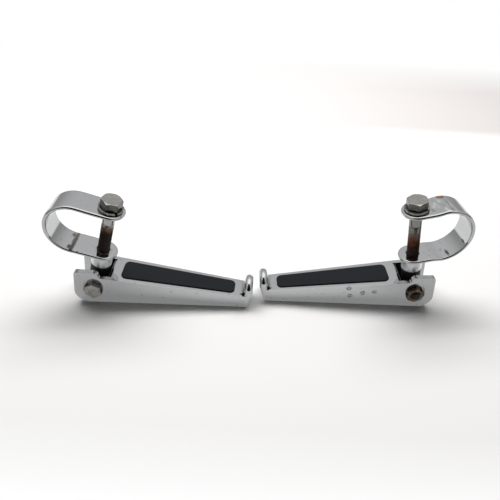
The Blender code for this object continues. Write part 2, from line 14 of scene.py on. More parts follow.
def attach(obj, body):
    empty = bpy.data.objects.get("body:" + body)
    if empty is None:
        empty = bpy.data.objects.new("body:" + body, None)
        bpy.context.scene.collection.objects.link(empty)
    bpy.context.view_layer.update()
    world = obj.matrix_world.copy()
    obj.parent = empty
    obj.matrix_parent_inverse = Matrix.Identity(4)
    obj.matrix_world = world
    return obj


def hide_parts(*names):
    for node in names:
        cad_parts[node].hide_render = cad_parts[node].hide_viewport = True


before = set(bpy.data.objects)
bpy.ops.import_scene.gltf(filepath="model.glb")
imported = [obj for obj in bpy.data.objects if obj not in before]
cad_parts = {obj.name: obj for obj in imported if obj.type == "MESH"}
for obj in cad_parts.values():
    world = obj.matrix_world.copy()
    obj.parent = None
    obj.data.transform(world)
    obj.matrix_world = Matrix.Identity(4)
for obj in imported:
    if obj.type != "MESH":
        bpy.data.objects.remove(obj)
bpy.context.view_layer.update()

# Sizes of the source, in metres.
PIVOT_HEIGHT = 0.0133
BOSS_TOP = 0.0288
SEAT_GAP = 0.0003
STRAP_WIDTH = 0.0230
STRAP_THICKNESS = 0.0030
STRAP_FLAT = 0.0130
STRAP_HOLE_RADIUS = 0.0053625
CLAMP_BOLT_RADIUS = 0.0047625
CLAMP_BOLT_LENGTH = 0.0550
CLAMP_FLATS = 0.0146
CLAMP_HEAD_HEIGHT = 0.0062
LOCK_WASHER_RADIUS = 0.0093
LOCK_WASHER_HEIGHT = 0.0022
LOCK_WASHER_SLOT = 0.0016

# How each side's mount and strap lie, in metres and degrees; "place" is the pivot seen from above.
# A dent is its way along the strap from the upper ear's bolt, its place across, its length, width
# and height. A stain is its way along, its place across, length, width, face and strength. On the
# inner face, -1, its way counts from the lower ear's bolt, and on the outer face, 1, from the upper
# one's. A strength over 1 turns the stain orange.
SIDES = {
    "left": {
        "place": (-0.1324645, -0.0065948), "turn": -1.5, "lean": 15.6, "swivel": 0.0,
        "spread": 0.0373, "bulge": 0.0002, "reach": 0.0455,
        "head_turn": 14.5, "split_turn": -50.0,
        "shank_shown": 0.0095, "rust_start": 0.0112, "rust_length": 0.014,
        "dents": [],
        "stains": [
            (0.0226, 0.0, 0.0021, 0.0200, -1, 1.0), (0.0252, 0.0070, 0.0024, 0.0036, -1, 0.9),
            (0.0248, -0.0075, 0.0020, 0.0036, -1, 0.8), (0.0330, -0.0040, 0.0030, 0.0060, -1, 0.35),
            (0.0, 0.0, 0.0068, 0.0068, -1, 0.9), (-0.0085, -0.0050, 0.0012, 0.0015, 1, 0.7),
        ],
    },
    "right": {
        "place": (0.1279355, 0.0064052), "turn": 183.5, "lean": 9.6, "swivel": 5.4,
        "spread": 0.0402, "bulge": 0.0011, "reach": 0.0437,
        "head_turn": 26.4, "split_turn": 140.0,
        "shank_shown": 0.0110, "rust_start": 0.0175, "rust_length": 0.022,
        "dents": [
            (0.0125, 0.0030, 0.0018, 0.0030, -0.00050), (0.0150, -0.0045, 0.0016, 0.0028, 0.00050),
            (0.0165, 0.0045, 0.0014, 0.0030, -0.00050), (0.0185, -0.0020, 0.0016, 0.0030, -0.00055),
            (0.0200, 0.0050, 0.0016, 0.0026, 0.00060), (0.0225, 0.0020, 0.0013, 0.0042, 0.00070),
            (0.0246, 0.0040, 0.0011, 0.0042, -0.00095), (0.0215, 0.0085, 0.0014, 0.0016, 0.00034),
            (0.0270, 0.0060, 0.0016, 0.0040, 0.00036),
        ],
        "stains": [
            (0.0262, 0.0060, 0.0015, 0.0048, -1, 0.9), (0.0262, -0.0070, 0.0012, 0.0050, -1, 0.5),
            (0.0225, 0.0010, 0.0022, 0.0022, -1, 0.6), (0.0425, 0.0060, 0.0010, 0.0030, -1, 0.9),
            (0.0, 0.0, 0.0060, 0.0060, -1, 0.6), (0.0215, -0.0092, 0.0026, 0.0022, 1, 2.0),
            (0.0140, -0.0020, 0.0050, 0.0070, 1, 0.34), (0.0105, 0.0050, 0.0025, 0.0035, 1, 0.6),
        ],
    },
}

# Places of the rust pits in the right peg's near wall, in the peg's own frame.
PITS = [
    (0.0550, 0.0128, 0.0173), (0.0529, 0.0129, 0.0092),
    (0.0430, 0.0134, 0.0128), (0.0335, 0.0138, 0.0145),
]

# Softening of the CAD's meshes, in metres and degrees.
MERGE_DISTANCE = 1e-6
FLAT_BELOW = 0.4
CORNER_ABOVE = 38.0
CAST_EDGE = 0.00035
BLOCK_EDGE = 0.00020
BOLT_EDGE = 0.00015
UNCUT_EDGE = 0.0

# Angles in degrees above which the shading breaks, and how much large faces rule it.
COPY_CREASE = 42.0
STRAP_CREASE = 50.0
BOLT_CREASE = 80.0
WASHER_CREASE = 60.0
AREA_WEIGHT = 80

# Numbers of points of the grid surfaces.
BEND_POINTS = 181
ALONG_POINTS = 241
END_POINTS = 25
RIM_POINTS = 6
DRILL_POINTS = 48
NECK_ROWS = 6
ROWS_PER_PITCH = 10.0
RING_ROWS = 97
CORNER_POINTS = 5

# Shapes that only the looks have, in metres and degrees.
STRAP_RIM = 0.00145
STRAP_EVENING = 0.0050
STRAP_RUN_OUT = 0.04
STRAP_STEP = 0.0001
DRILL_LENGTH = 0.12
THREAD_PITCH = 0.0015875
THREAD_DEPTH = 0.00085
THREAD_RUN_IN = 1.5 * THREAD_PITCH
THREAD_ROUNDNESS = 0.75
THREAD_STOP = 0.0006
POINT_LENGTH = 0.0018
POINT_FALL = 0.0010
POINT_RADIUS = 0.0032
HALF_SECTOR = 30.0
HEX_SOFTNESS = 60.0
HEAD_EDGE = 0.00018
HEAD_DISH = 0.00012
HEAD_CROWN = 0.485
HEAD_CHAMFER = 30.0
HEAD_FILLET = 0.0003
WIRE_CORNER = 0.00035
WIRE_CLIMB = 0.00026
WIRE_END = 0.9
WIRE_SLANT = 0.4

# Roughness of the chrome and how much of it dull specks take up.
CAST_GLOSS = 0.045
CAST_GRIME = 0.015
STRAP_GLOSS = 0.05
STRAP_GRIME = 0.01
BLOCK_GLOSS = 0.24
NO_GRIME = 0.0

# Painted shade in the clevises, near black, in metres: up the block's neck, across between the ears
# and along.
CLEVIS_SHADE_COLOUR = "#060606"
CLEVIS_SHADE_ROUGHNESS = 0.6
NECK_SHADE_SPAN = (0.0192, 0.0180)
CLEVIS_INSIDE_SPAN = (0.0109, 0.0112)
CLEVIS_SHADE_SPAN = (0.0118, 0.0132)

# Places on the board along its depth and width, in metres, each from and to.
BOARD_SIZE = (-2.5, 2.5, -2.5, 3.0)
BOARD_END = (0.315, 0.345)
TABLE_WIDTH = (-0.35, 0.35)
PAINTED_GLOW_SPAN = (-0.40, 1.20)
SHARE_SPAN = (-0.36, 0.84)
WHITE_BEHIND = (0.48, 0.60)
WHITE_BEFORE = (-0.13, -0.18)

# The room's dark sector, as sideways over ahead, and the lamp.
DARK_SECTOR = (0.60, 0.95)
LAMP_SIZE = (1.30, 0.40)
LAMP_PLACE = (-0.08, 0.47, 0.88)
LAMP_WATTS = 11.6

# The photograph's viewpoint.
SENSOR_WIDTH = 36.0
PHOTO_LENS = 36.29
PHOTO_VIEW = (
    (0.99879, -0.04916, 0.0, -0.00857),
    (0.03092, 0.62825, -0.77739, -0.31267),
    (0.03822, 0.77645, 0.62901, 0.2977),
    (0.0, 0.0, 0.0, 1.0),
)


def linear(colour):
    """Turn an sRGB hex colour into a linear one."""
    value = np.array([int(colour[k:k + 2], 16) for k in (1, 3, 5)]) / 255.0
    value = np.where(value <= 0.04045, value / 12.92, ((value + 0.055) / 1.055) ** 2.4)
    return (*value.tolist(), 1.0)


def feed(tree, item, inputs):
    """Set inputs of a node, each to a value or to the output of another node."""
    for socket, value in inputs.items():
        if isinstance(value, bpy.types.NodeSocket):
            tree.links.new(value, item.inputs[socket])
        else:
            item.inputs[socket].default_value = value


def add(tree, kind, settings=None, inputs=None):
    """Add a node with its settings and inputs."""
    item = tree.nodes.new(kind)
    for name, value in (settings or {}).items():
        setattr(item, name, value)
    feed(tree, item, inputs or {})
    return item


def here(tree):
    """Place in the shared frame, for textures."""
    return add(tree, "ShaderNodeTexCoord").outputs["Object"]


def attribute(tree, name):
    """Value that a mesh carries at each point."""
    return add(tree, "ShaderNodeAttribute", {"attribute_name": name}).outputs["Fac"]


def noise(tree, where, scale, detail, roughness):
    """Cloudy texture from 0 to 1."""
    return add(tree, "ShaderNodeTexNoise", inputs={
        "Vector": where, "Scale": scale, "Detail": detail, "Roughness": roughness}).outputs["Fac"]


def remap(tree, value, old, new=(0.0, 1.0), interpolation="LINEAR"):
    """Carry a value from an old span to a new one, and keep it within that."""
    return add(tree, "ShaderNodeMapRange", {"interpolation_type": interpolation}, {
        "Value": value, "From Min": old[0], "From Max": old[1],
        "To Min": new[0], "To Max": new[1]}).outputs[0]


def maths(tree, operation, *values, clamp=False):
    """Do one sum on values or outputs."""
    settings = {"operation": operation, "use_clamp": clamp}
    return add(tree, "ShaderNodeMath", settings, dict(enumerate(values))).outputs[0]


def mix(tree, factor, before, after, kind="RGBA", blend="MIX"):
    """Blend two colours, or two values for the kind FLOAT."""
    settings = {"data_type": kind, "blend_type": blend}
    return add(tree, "ShaderNodeMix", settings, {
        "Factor": factor, "A": before, "B": after}).outputs["Result"]


def ramp(tree, factor, stops):
    """Add a colour ramp over (position, grey level or hex colour) stops."""
    item = add(tree, "ShaderNodeValToRGB", inputs={"Fac": factor})
    elements = item.color_ramp.elements
    for index, (position, shade) in enumerate(stops):
        element = elements[index] if index < 2 else elements.new(position)
        element.position = position
        element.color = linear(shade) if isinstance(shade, str) else (shade, shade, shade, 1.0)
    return item.outputs["Color"]


def roughen(tree, shader, height, strength, distance):
    """Give a shader a fine relief from a texture."""
    relief = add(tree, "ShaderNodeBump", inputs={
        "Strength": strength, "Distance": distance, "Height": height})
    feed(tree, shader, {"Normal": relief.outputs[0]})


def new_material(name):
    """Start a material and return it with its tree and its shader."""
    made = bpy.data.materials.new(name)
    made.use_nodes = True
    return made, made.node_tree, made.node_tree.nodes["Principled BSDF"]


def side_frame(side, with_swivel):
    """Frame of a side's mount: turned about Z, leaned about Y, then swivelled about the bolt."""
    lay = SIDES[side]
    move = Matrix.Translation((*lay["place"], PIVOT_HEIGHT))
    move @= Matrix.Rotation(math.radians(lay["turn"]), 4, "Z")
    move @= Matrix.Rotation(math.radians(lay["lean"]), 4, "Y")
    if with_swivel:
        move @= Matrix.Rotation(math.radians(lay["swivel"]), 4, "Z")
    return move


def grid_faces(rows, columns):
    """Corner numbers of the quads of a grid of rows by columns, its columns closed to a loop."""
    row = np.arange(rows - 1)[:, None]
    column = np.arange(columns)[None, :]
    after = (column + 1) % columns
    corners = (
        row * columns + column, row * columns + after,
        (row + 1) * columns + after, (row + 1) * columns + column,
    )
    whole = [np.broadcast_to(corner, (rows - 1, columns)) for corner in corners]
    return np.stack(whole, -1).reshape(-1, 4)


def surface(name, points, move=None, attributes=None):
    """Mesh of a grid of points, rows by columns by 3: doubles merged, faces outwards, moved."""
    rows, columns = points.shape[:2]
    mesh = bpy.data.meshes.new(name)
    mesh.from_pydata(points.reshape(-1, 3).tolist(), [], grid_faces(rows, columns).tolist())
    for key, values in (attributes or {}).items():
        layer = mesh.attributes.new(key, "FLOAT", "POINT")
        layer.data.foreach_set("value", np.ascontiguousarray(values, np.float32).ravel())
    bm = bmesh.new()
    bm.from_mesh(mesh)
    bmesh.ops.remove_doubles(bm, verts=bm.verts, dist=MERGE_DISTANCE)
    bmesh.ops.recalc_face_normals(bm, faces=bm.faces)
    bm.to_mesh(mesh)
    bm.free()
    if move:
        mesh.transform(move)
    return mesh


def shown(mesh, node, body, finish, crease):
    """Put a mesh in the scene as the piece that stands for a CAD node."""
    mesh.shade_smooth()
    mesh.set_sharp_from_angle(angle=math.radians(crease))
    piece = bpy.data.objects.new(node + "_surface", mesh)
    bpy.context.scene.collection.objects.link(piece)
    mesh.materials.clear()
    mesh.materials.append(finish)
    even = piece.modifiers.new("even_shading", "WEIGHTED_NORMAL")
    even.mode = "FACE_AREA"
    even.weight = AREA_WEIGHT
    even.keep_sharp = True
    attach(piece, body)
    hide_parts(node)


def softened_copy(node, soft_edge):
    """Merged copy of a CAD node's mesh with a small round along its sharp edges."""
    bm = bmesh.new()
    bm.from_mesh(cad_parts[node].data)
    bmesh.ops.remove_doubles(bm, verts=bm.verts, dist=MERGE_DISTANCE)
    flat = math.radians(FLAT_BELOW)
    bmesh.ops.dissolve_limit(bm, angle_limit=flat, verts=bm.verts, edges=bm.edges)
    corner = math.radians(CORNER_ABOVE)
    edges = [e for e in bm.edges if len(e.link_faces) == 2 and e.calc_face_angle() > corner]
    if soft_edge:
        bmesh.ops.bevel(
            bm, geom=edges, offset=soft_edge, offset_type="OFFSET", segments=2, profile=0.5,
            affect="EDGES", clamp_overlap=True,
        )
    mesh = bpy.data.meshes.new(node + "_surface")
    bm.to_mesh(mesh)
    bm.free()
    return mesh


def block_mesh(side):
    """Softened mount block that carries its height over the pivot, along its own leaning axis."""
    mesh = softened_copy(side + "_mount_block", BLOCK_EDGE)
    points = np.empty(3 * len(mesh.vertices))
    mesh.vertices.foreach_get("co", points)
    back = np.array(side_frame(side, False).inverted())
    height = points.reshape(-1, 3) @ back[2, :3] + back[2, 3]
    layer = mesh.attributes.new("up", "FLOAT", "POINT")
    layer.data.foreach_set("value", height.astype(np.float32))
    return mesh


def strap_line(lay):
    """Middle line of a strap: way along it, its x, z and normal there, and its length.

    The line runs straight along the lower ear and on to the bend, round a half circle and back
    to the upper ear. A running mean over STRAP_EVENING takes out its corners. The way is zero at
    the lower ear's bolt, and the line runs on past both bolts by STRAP_RUN_OUT.
    """
    half = 0.5 * (lay["spread"] + STRAP_THICKNESS)
    radius = half + lay["bulge"]
    bend = radius + 0.5 * STRAP_THICKNESS - lay["reach"]
    middle = BOSS_TOP + SEAT_GAP + 0.5 * lay["spread"] + STRAP_THICKNESS
    angle = np.linspace(-0.5 * np.pi, -1.5 * np.pi, BEND_POINTS)
    ear = [STRAP_RUN_OUT, -STRAP_FLAT]
    x = np.concatenate([ear, bend + radius * np.cos(angle), ear[::-1]])
    z = np.concatenate([[-half, -half], radius * np.sin(angle), [half, half]]) + middle
    corner = np.concatenate([[0.0], np.cumsum(np.hypot(np.diff(x), np.diff(z)))])
    way = np.arange(0.0, corner[-1], STRAP_STEP)
    window = np.ones(int(STRAP_EVENING / STRAP_STEP) | 1)
    window /= window.sum()
    trim = len(window) // 2
    x = np.convolve(np.interp(way, corner, x), window, "valid")
    z = np.convolve(np.interp(way, corner, z), window, "valid")
    way = way[trim:len(way) - trim] - STRAP_RUN_OUT
    length = corner[-1] - 2.0 * STRAP_RUN_OUT
    slope_x, slope_z = np.gradient(x, STRAP_STEP), np.gradient(z, STRAP_STEP)
    size = np.hypot(slope_x, slope_z)
    return way, x, z, -slope_z / size, slope_x / size, length


def strap_mesh(side):
    """Strap as a plate with a rounded rim, bent along its line, with a hole for the bolt.

    The plate's outline is a long shape with half-round ends about the two bolt holes. Each ring of
    the surface is that outline drawn in toward the line between the holes, from the inner face
    round the rim to the outer face. A point's place is the line's place at its way along, plus
    its level times the line's normal. Dents are round bumps added to the level.
    """
    lay = SIDES[side]
    line, x, z, normal_x, normal_z, length = strap_line(lay)
    half = 0.5 * STRAP_WIDTH
    along = np.linspace(0.0, length, ALONG_POINTS)
    turn = np.linspace(-0.5 * np.pi, 0.5 * np.pi, END_POINTS)[1:-1]
    spine = np.concatenate([along, np.full(turn.size, length), along[::-1], np.zeros(turn.size)])
    out_along = np.concatenate([0 * along, np.cos(turn), 0 * along, -np.cos(turn)])
    out_across = np.concatenate([0 * along - 1.0, np.sin(turn), 0 * along + 1.0, -np.sin(turn)])
    quarter = np.linspace(0.0, 0.5 * np.pi, RIM_POINTS)
    inner = half - STRAP_RIM
    flat = inner * np.array([0.0, 0.12, 0.24, 0.36, 0.48, 0.60, 0.72, 0.84, 0.94])
    rim = inner + STRAP_RIM * np.sin(quarter)
    height = 0.5 * STRAP_THICKNESS
    rise = height - STRAP_RIM + STRAP_RIM * np.cos(quarter)
    reach = np.concatenate([flat, rim, rim[::-1], flat[::-1]])[:, None]
    level = np.concatenate([0 * flat - height, -rise, rise[::-1], 0 * flat + height])[:, None]
    way = spine + reach * out_along
    across = reach * out_across
    for place, aside, long, wide, size in lay["dents"]:
        bump = np.exp(-((way - (length - place)) / long) ** 2 - ((across - aside) / wide) ** 2)
        level = level + size * bump
    place_x = np.interp(way, line, x) + level * np.interp(way, line, normal_x)
    place_z = np.interp(way, line, z) + level * np.interp(way, line, normal_z)
    points = np.stack([place_x, across, place_z], -1)
    stain = np.zeros(way.shape)
    for place, aside, long, wide, face, strength in lay["stains"]:
        at = place if face < 0 else length - place
        spot = np.exp(-((way - at) / long) ** 2 - ((across - aside) / wide) ** 2)
        stain = np.maximum(stain, strength * spot * (face * level > 0.0))
    mesh = bored(surface(side + "_strap", points, attributes={"stain": stain}))
    mesh.transform(side_frame(side, True))
    return mesh


def drill_mesh():
    """Round rod along Z from the origin: a loop of points at its foot and its top, closed in."""
    angle = np.linspace(0.0, 2.0 * np.pi, DRILL_POINTS + 1)[:-1]
    radius = np.array([0.0, 1.0, 1.0, 0.0])[:, None] * STRAP_HOLE_RADIUS
    height = np.array([0.0, 0.0, 1.0, 1.0])[:, None] * DRILL_LENGTH + 0.0 * angle
    points = np.stack([radius * np.cos(angle), radius * np.sin(angle), height], -1)
    return surface("drill", points)


def bored(mesh):
    """Take the bolt's hole out of a strap that is still in its own frame."""
    base = bpy.data.objects.new("base", mesh)
    drill = bpy.data.objects.new("drill", drill_mesh())
    for item in (base, drill):
        bpy.context.scene.collection.objects.link(item)
    step = base.modifiers.new("bore", "BOOLEAN")
    step.operation = "DIFFERENCE"
    step.solver = "EXACT"
    step.object = drill
    seen = base.evaluated_get(bpy.context.evaluated_depsgraph_get())
    result = bpy.data.meshes.new_from_object(seen)
    for item in (base, drill):
        bpy.data.objects.remove(item, do_unlink=True)
    return result


def hex_angles():
    """Angles round a hexagon from a corner, close together at corners and wide on the flats."""
    sector = np.radians([-30.0, -28.8, -26.8, -21.0, -13.0, -4.5, 4.5, 13.0, 21.0, 26.8, 28.8])
    return (np.radians(60.0) * np.arange(6)[:, None] + sector).ravel()


def hex_radius(angle, flats):
    """Distance to a hexagon's outline: half the flats over the high-power mean of face cosines."""
    faces = np.cos(angle[..., None] - np.radians(60.0) * np.arange(6))
    mean = (np.maximum(faces, 0.0) ** HEX_SOFTNESS).sum(-1) ** (1.0 / HEX_SOFTNESS)
    return 0.5 * flats / mean


def head_rings(outline, seat):
    """Rings of a bolt's head, as (radius, height) pairs, and the height of its chamfer's edge.

    The top is slightly dished inside a circle a little smaller than the flats. Outside it the
    chamfer falls at HEAD_CHAMFER to the hexagon's outline, with a small round at each turn.
    """
    top = seat + CLAMP_HEAD_HEIGHT
    crown = HEAD_CROWN * CLAMP_FLATS
    fall = math.tan(math.radians(HEAD_CHAMFER))
    soft = HEAD_EDGE
    brink = top - 0.4 * soft * fall
    rings = [(s * crown, top - HEAD_DISH * (1.0 - s ** 4)) for s in (0.0, 0.35, 0.7, 0.9)]
    rings += [(crown - soft, top), (crown, brink)]
    for share in (0.4, 0.8, 1.0):
        out = share * (outline - soft - crown)
        rings.append((crown + out, brink - out * fall))
    edge = rings[-1][1]
    rings += [
        (outline - 0.3 * soft, edge - 0.45 * soft), (outline, edge - 1.2 * soft),
        (outline, 0.5 * (edge + seat)), (outline, seat + soft), (outline - soft, seat),
        (CLAMP_BOLT_RADIUS + HEAD_FILLET, seat), (CLAMP_BOLT_RADIUS, seat - HEAD_FILLET),
    ]
    return rings, edge


def clamp_bolt_mesh(side):
    """Clamp bolt turned about its axis: chamfered hexagon head, plain neck, thread and point.

    The thread's radius falls by a rounded V that moves on by one pitch with each turn about the
    axis. "down" tells how far the rust has gone, and another mark picks out the sides of the head,
    which are darkened with grime and painted shade.
    """
    lay = SIDES[side]
    ear_top = BOSS_TOP + SEAT_GAP + lay["spread"] + 2.0 * STRAP_THICKNESS
    seat = ear_top + LOCK_WASHER_HEIGHT + 2.0 * SEAT_GAP
    plain = seat - (lay["shank_shown"] + STRAP_THICKNESS + LOCK_WASHER_HEIGHT)
    end = seat - CLAMP_BOLT_LENGTH
    angle = hex_angles()
    rings, edge = head_rings(hex_radius(angle, CLAMP_FLATS), seat)
    head_radius, head_height = (
        np.stack([np.broadcast_to(ring[k], angle.shape) for ring in rings]) for k in (0, 1)
    )
    neck = np.linspace(seat - 2.0 * HEAD_FILLET, plain, NECK_ROWS)[:, None] + 0.0 * angle
    step = THREAD_PITCH / ROWS_PER_PITCH
    screw = np.arange(plain, end + THREAD_STOP, -step)[:, None] + 0.0 * angle
    phase = screw / THREAD_PITCH - angle / (2.0 * np.pi)
    groove = (0.5 - 0.5 * np.cos(2.0 * np.pi * phase)) ** THREAD_ROUNDNESS
    start = np.clip((plain - screw) / THREAD_RUN_IN, 0.0, 1.0)
    point = np.clip((screw - end) / POINT_LENGTH, 0.0, 1.0)
    thread = CLAMP_BOLT_RADIUS - THREAD_DEPTH * groove * start - POINT_FALL * (1.0 - point)
    foot = 0.0 * angle[None]
    radius = np.concatenate([
        head_radius, 0.0 * neck + CLAMP_BOLT_RADIUS, thread, foot + POINT_RADIUS, foot])
    height = np.concatenate([head_height, neck, screw, foot + end, foot + end])
    points = np.stack([radius * np.cos(angle), radius * np.sin(angle), height], -1)
    depth = seat - LOCK_WASHER_HEIGHT - STRAP_THICKNESS - height
    rust = np.clip((depth - lay["rust_start"]) / lay["rust_length"], -2.0, 2.0)
    rust = rust - 2.0 * (height > seat - 0.0005)
    outside = (height > seat - 0.0002) & (radius > CLAMP_BOLT_RADIUS + 0.0004)
    marks = {"down": rust, "grime_and_shade": outside & (height < edge - 0.5 * HEAD_EDGE)}
    turn = Matrix.Rotation(math.radians(lay["head_turn"] + HALF_SECTOR), 4, "Z")
    return surface(side + "_clamp_bolt", points, side_frame(side, False) @ turn, marks)


def lock_washer_mesh(side):
    """Split ring of square wire with rounded corners: one turn that climbs from end to end."""
    lay = SIDES[side]
    base = BOSS_TOP + 2.0 * SEAT_GAP + lay["spread"] + 2.0 * STRAP_THICKNESS
    inner = CLAMP_BOLT_RADIUS + SEAT_GAP
    centre = 0.5 * (LOCK_WASHER_RADIUS + inner)
    half = np.array([LOCK_WASHER_RADIUS - inner, LOCK_WASHER_HEIGHT - SEAT_GAP]) * 0.5
    quarter = np.linspace(0.0, 0.5 * np.pi, CORNER_POINTS)
    angle = (quarter[None, :] + 0.5 * np.pi * np.arange(4)[:, None]).ravel()
    sign = np.array([[1, 1], [-1, 1], [-1, -1], [1, -1]]).repeat(CORNER_POINTS, 0)
    arc = np.stack([np.cos(angle), np.sin(angle)], -1)
    section = sign * (half - WIRE_CORNER) + WIRE_CORNER * arc
    gap = LOCK_WASHER_SLOT / centre
    share = np.linspace(0.0, 1.0, RING_ROWS)
    rows = np.concatenate([[0.0, 0.0], share, [1.0, 1.0]])[:, None]
    full = np.concatenate([[0.0, WIRE_END], np.ones(RING_ROWS), [WIRE_END, 0.0]])[:, None]
    wide = section[:, 0] * full
    tall = section[:, 1] * full
    turn = 0.5 * gap + rows * (2.0 * np.pi - gap) - WIRE_SLANT * tall / centre
    radius = centre + wide
    height = base + 0.5 * LOCK_WASHER_HEIGHT + tall + WIRE_CLIMB * (rows - 0.5)
    points = np.stack([radius * np.cos(turn), radius * np.sin(turn), height], -1)
    move = side_frame(side, False) @ Matrix.Rotation(math.radians(lay["split_turn"]), 4, "Z")
    return surface(side + "_lock_washer", points, move)


def chrome_plate(name, roughness, grime, colour="#c6c7c8"):
    """Chromium plate: gives the eye a mirror with fine wiping scratches and small dull specks."""
    made, tree, shader = new_material(name)
    where = here(tree)
    drawn_out = add(tree, "ShaderNodeMapping", inputs={
        "Vector": where, "Scale": (60.0, 900.0, 900.0)})
    scratches = noise(tree, drawn_out.outputs[0], scale=1.0, detail=3.0, roughness=0.6)
    haze = noise(tree, where, scale=60.0, detail=4.0, roughness=0.6)
    specks = noise(tree, where, scale=420.0, detail=3.0, roughness=0.7)
    spot = ramp(tree, specks, [(0.66 - grime, 0.0), (0.74 - grime, 1.0)])
    dull = remap(tree, haze, (0.35, 0.75), (roughness, 2.2 * roughness))
    feed(tree, shader, {
        "Base Color": mix(tree, spot, linear(colour), linear("#6f665c")),
        "Roughness": mix(tree, spot, dull, 0.45, "FLOAT"),
        "Metallic": 1.0,
    })
    roughen(tree, shader, scratches, strength=0.05, distance=0.00003)
    return made


def cover(made, amount, colour, roughness, hides_metal=True):
    """Lay dirt, rust or painted shade over a metal: its colour and roughness take over by an
    amount.
    """
    tree = made.node_tree
    shader = tree.nodes["Principled BSDF"]
    for socket, kind, value in (("Base Color", "RGBA", colour), ("Roughness", "FLOAT", roughness)):
        before = shader.inputs[socket].links[0].from_socket
        feed(tree, shader, {socket: mix(tree, amount, before, value, kind)})
    if hides_metal:
        feed(tree, shader, {"Metallic": maths(tree, "SUBTRACT", 1.0, amount)})


def in_peg(tree, side):
    """Place in a peg's own frame: from under its pivot, turned with the peg."""
    lay = SIDES[side]
    return add(tree, "ShaderNodeMapping", {"vector_type": "TEXTURE"}, {
        "Vector": here(tree), "Location": (*lay["place"], 0.0),
        "Rotation": (0.0, 0.0, math.radians(lay["turn"]))}).outputs[0]


def painted_shade_on_neck(made):
    """Paint shade on the lower part of a mount block, near black, so that it sinks into the dark of
    the clevis.
    """
    tree = made.node_tree
    cover(made, remap(tree, attribute(tree, "up"), NECK_SHADE_SPAN), linear(CLEVIS_SHADE_COLOUR),
          CLEVIS_SHADE_ROUGHNESS)


def painted_shade_in_clevis(made, side):
    """Paint shade on the bottom of a clevis, near black, between the ears and under the rolled end
    of the plate.
    """
    tree = made.node_tree
    parts = add(tree, "ShaderNodeSeparateXYZ", inputs={"Vector": in_peg(tree, side)}).outputs
    aside = maths(tree, "ABSOLUTE", parts["Y"])
    within = remap(tree, aside, CLEVIS_INSIDE_SPAN, (1.0, 0.0))
    behind = remap(tree, parts["X"], CLEVIS_SHADE_SPAN, (1.0, 0.0))
    amount = maths(tree, "MULTIPLY", within, behind)
    cover(made, amount, linear(CLEVIS_SHADE_COLOUR), CLEVIS_SHADE_ROUGHNESS)


def pitted(made, side, pits):
    """Small ragged rust pits at given places of a wall: a grey ring about a dull middle."""
    tree = made.node_tree
    where = in_peg(tree, side)
    near = 1.0
    for pit in pits:
        away = add(tree, "ShaderNodeVectorMath", {"operation": "DISTANCE"}, {0: where, 1: pit})
        near = maths(tree, "MINIMUM", away.outputs["Value"], near)
    ragged = noise(tree, where, scale=700.0, detail=3.0, roughness=0.6)
    wide = maths(tree, "MULTIPLY_ADD", ragged, 0.0042, near)
    amount = ramp(tree, remap(tree, wide, (0.0021, 0.0045)), [
        (0.0, 0.35), (0.35, 0.30), (0.55, 0.90), (0.75, 0.70), (1.0, 0.0)])
    cover(made, amount, linear("#6e6b68"), 0.5, hides_metal=False)


def stained(made):
    """Break a plated strap through to brown rust in ragged spots, as strong as its stains say."""
    tree = made.node_tree
    ragged = noise(tree, here(tree), scale=520.0, detail=5.0, roughness=0.75)
    strength = attribute(tree, "stain")
    spread = maths(tree, "MULTIPLY", strength, ragged)
    amount = remap(tree, spread, (0.14, 0.36), (0.0, 0.95))
    brown = ramp(tree, ragged, [(0.35, "#22201e"), (0.60, "#58524b")])
    orange = maths(tree, "SUBTRACT", strength, 1.0, clamp=True)
    cover(made, amount, mix(tree, orange, brown, linear("#96581c")), 0.65)


def zinc_steel(name, dark, colour, light, roughness):
    """Dulled zinc-plated steel: gives the eye soft grey, mottled over a few millimetres."""
    made, tree, shader = new_material(name)
    mottle = noise(tree, here(tree), scale=260.0, detail=5.0, roughness=0.65)
    feed(tree, shader, {
        "Base Color": ramp(tree, mottle, [(0.30, dark), (0.52, colour), (0.72, light)]),
        "Roughness": remap(tree, mottle, (0.3, 0.7), (roughness + 0.12, roughness)),
        "Metallic": 1.0,
    })
    roughen(tree, shader, mottle, strength=0.35, distance=0.00008)
    return made


def clamp_bolt_steel(name, neck, rust_stops):
    """Zinc-plated bolt: satin top, sides darkened by grime and painted shade, plain neck, and rust
    that darkens down the thread.
    """
    made, tree, shader = new_material(name)
    down = attribute(tree, "down")
    mottle = noise(tree, here(tree), scale=300.0, detail=5.0, roughness=0.65)
    uneven = maths(tree, "MULTIPLY_ADD", mottle, 0.8, down)
    rusted = remap(tree, uneven, (0.35, 0.80))
    satin = ramp(tree, mottle, [(0.30, "#a3a29f"), (0.70, "#bbbab7")])
    clean = mix(tree, remap(tree, down, (-3.0, -2.0)), satin, linear(neck))
    # The head's sides take a dark colour: partly grime, partly painted shade.
    grime = ramp(tree, mottle, [(0.35, "#3d3b38"), (0.65, "#74716c")])
    clean = mix(tree, attribute(tree, "grime_and_shade"), clean, grime)
    feed(tree, shader, {
        "Base Color": mix(tree, rusted, clean, ramp(tree, uneven, rust_stops)),
        "Metallic": maths(tree, "SUBTRACT", 1.0, rusted, clamp=True),
        "Roughness": remap(tree, rusted, (0.0, 1.0), (0.20, 0.85)),
    })
    roughen(tree, shader, maths(tree, "MULTIPLY", mottle, rusted), strength=0.6, distance=0.00012)
    return made


def black_rubber(name):
    """Moulded rubber: gives the eye a near-black satin with a fine grain and faint grey dust."""
    made, tree, shader = new_material(name)
    where = here(tree)
    grain = noise(tree, where, scale=1400.0, detail=3.0, roughness=0.6)
    dust = noise(tree, where, scale=90.0, detail=5.0, roughness=0.7)
    feed(tree, shader, {
        "Base Color": ramp(tree, dust, [(0.35, "#101316"), (0.70, "#181c20")]),
        "Roughness": remap(tree, dust, (0.3, 0.7), (0.48, 0.66)),
        "IOR": 1.5,
        "Specular IOR Level": 0.22,
    })
    roughen(tree, shader, grain, strength=0.25, distance=0.00004)
    return made


